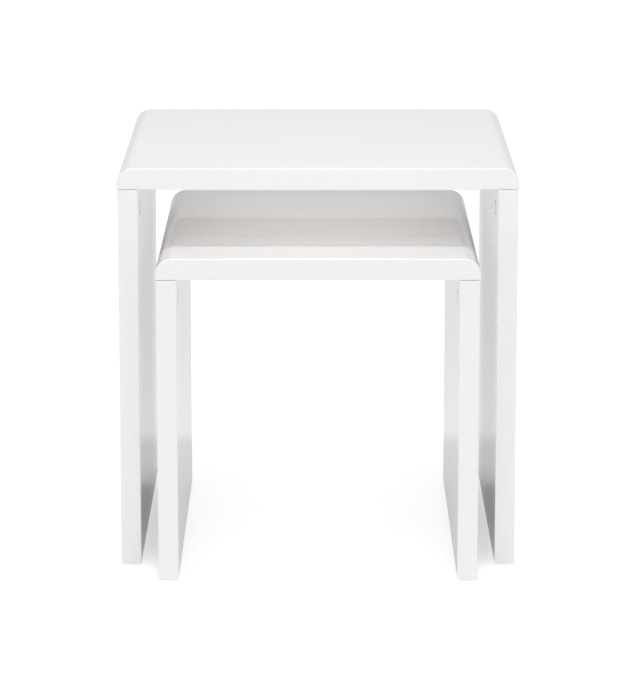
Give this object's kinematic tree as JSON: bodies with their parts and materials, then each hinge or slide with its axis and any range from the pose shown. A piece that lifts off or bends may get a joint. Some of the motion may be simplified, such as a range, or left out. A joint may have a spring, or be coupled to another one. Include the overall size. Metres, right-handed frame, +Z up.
{
  "type": "nesting tables",
  "caption": "Nesting side tables: slab tops with rolled-over ends on full-depth panel legs; the lower table slides out from under the taller one.",
  "frame": {"origin": "on the floor, under the middle of the nest's footprint with the small table standing 74 mm ahead of the large one", "axes": "+Z up, +Y to the back, +X to the right seen from the front; the small table slides out towards -Y"},
  "size_m": [0.5, 0.574, 0.511],
  "materials": {
    "lacquered_board": "white high-gloss lacquer on MDF",
    "beech": "bare fluted beech",
    "zinc_casting": "zinc die casting, matt",
    "plated_steel": "bright zinc plating on steel",
    "cover_foil": "white self-adhesive PVC foil, satin",
    "glide_plastic": "off-white moulded polyethylene, matt"
  },
  "bodies": {
    "large_table": {"large_top": "lacquered_board", "large_rail": "lacquered_board", "large_left_leg": "lacquered_board", "large_left_rail_dowel": "beech", "large_left_front_cam_lock": "zinc_casting", "large_left_front_cam_cover": "cover_foil", "large_left_front_cam_bolt": "plated_steel", "large_left_front_dowel": "beech", "large_left_front_glide": "glide_plastic", "large_left_front_glide_nail": "plated_steel", "large_left_rear_cam_lock": "zinc_casting", "large_left_rear_cam_cover": "cover_foil", "large_left_rear_cam_bolt": "plated_steel", "large_left_rear_dowel": "beech", "large_left_rear_glide": "glide_plastic", "large_left_rear_glide_nail": "plated_steel", "large_right_leg": "lacquered_board", "large_right_rail_dowel": "beech", "large_right_front_cam_lock": "zinc_casting", "large_right_front_cam_cover": "cover_foil", "large_right_front_cam_bolt": "plated_steel", "large_right_front_dowel": "beech", "large_right_front_glide": "glide_plastic", "large_right_front_glide_nail": "plated_steel", "large_right_rear_cam_lock": "zinc_casting", "large_right_rear_cam_cover": "cover_foil", "large_right_rear_cam_bolt": "plated_steel", "large_right_rear_dowel": "beech", "large_right_rear_glide": "glide_plastic", "large_right_rear_glide_nail": "plated_steel"},
    "small_table": {"small_top": "lacquered_board", "small_rail": "lacquered_board", "small_left_leg": "lacquered_board", "small_left_rail_dowel": "beech", "small_left_front_cam_lock": "zinc_casting", "small_left_front_cam_cover": "cover_foil", "small_left_front_cam_bolt": "plated_steel", "small_left_front_dowel": "beech", "small_left_front_glide": "glide_plastic", "small_left_front_glide_nail": "plated_steel", "small_left_rear_cam_lock": "zinc_casting", "small_left_rear_cam_cover": "cover_foil", "small_left_rear_cam_bolt": "plated_steel", "small_left_rear_dowel": "beech", "small_left_rear_glide": "glide_plastic", "small_left_rear_glide_nail": "plated_steel", "small_right_leg": "lacquered_board", "small_right_rail_dowel": "beech", "small_right_front_cam_lock": "zinc_casting", "small_right_front_cam_cover": "cover_foil", "small_right_front_cam_bolt": "plated_steel", "small_right_front_dowel": "beech", "small_right_front_glide": "glide_plastic", "small_right_front_glide_nail": "plated_steel", "small_right_rear_cam_lock": "zinc_casting", "small_right_rear_cam_cover": "cover_foil", "small_right_rear_cam_bolt": "plated_steel", "small_right_rear_dowel": "beech", "small_right_rear_glide": "glide_plastic", "small_right_rear_glide_nail": "plated_steel"}
  },
  "joints": [
    {"name": "small_table_slide", "type": "slide", "parent": "large_table", "child": "small_table", "axis": [0, -1, 0], "range_m": [-0.074, 0.426]}
  ]
}
